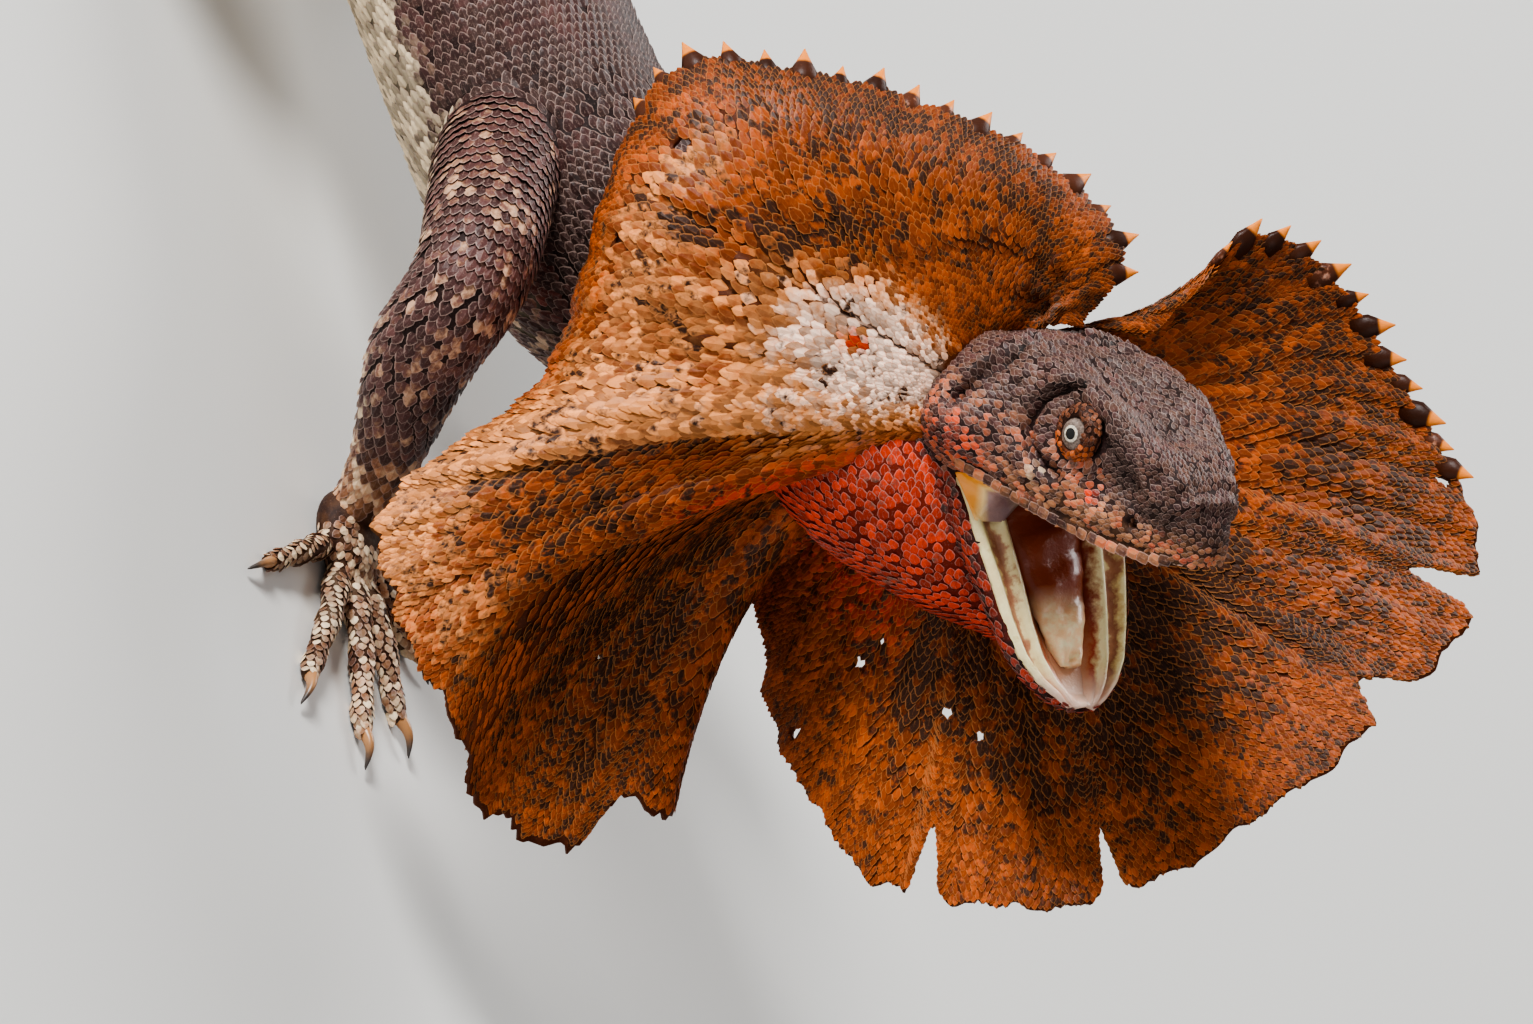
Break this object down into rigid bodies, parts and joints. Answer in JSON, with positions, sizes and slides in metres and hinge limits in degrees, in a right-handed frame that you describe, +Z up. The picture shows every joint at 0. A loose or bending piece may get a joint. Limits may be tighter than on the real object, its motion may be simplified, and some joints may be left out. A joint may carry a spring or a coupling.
{
  "type": "frilled lizard",
  "caption": "Life-size frilled lizard standing in threat display, with its neck frill spread, its mouth gaping and its head turned.",
  "frame": {"origin": "middle of the floor area that the lizard covers, at the level of its soles", "axes": "+Z up, the lizard's body runs along Y and faces -Y, and its left side is +X"},
  "size_m": [0.1756, 0.6696, 0.1636],
  "materials": {
    "skin": "dark purplish brown scaly hide with pale scale edges, satin",
    "frill": "thin scaly membrane, orange-brown with dark mottling, satin",
    "eye": "wet and clear over a greyish iris",
    "tongue": "moist, peach pink"
  },
  "bodies": {
    "root": {"head": "skin", "lower_jaw": "skin", "throat": "skin", "neck": "skin", "torso": "skin", "pelvis": "skin", "tail_1": "skin", "tail_2": "skin", "tail_3": "skin", "tail_4": "skin", "right_upper_arm": "skin", "right_forearm": "skin", "right_hand": "skin", "right_thigh": "skin", "right_shin": "skin", "right_foot": "skin", "left_upper_arm": "skin", "left_forearm": "skin", "left_hand": "skin", "left_thigh": "skin", "left_shin": "skin", "left_foot": "skin", "frill_right_top": "frill", "frill_right_lobe": "frill", "frill_right_fold": "frill", "frill_throat": "frill", "frill_left": "frill", "eye_right": "eye", "eye_left": "eye", "tongue": "tongue"}
  },
  "joints": []
}
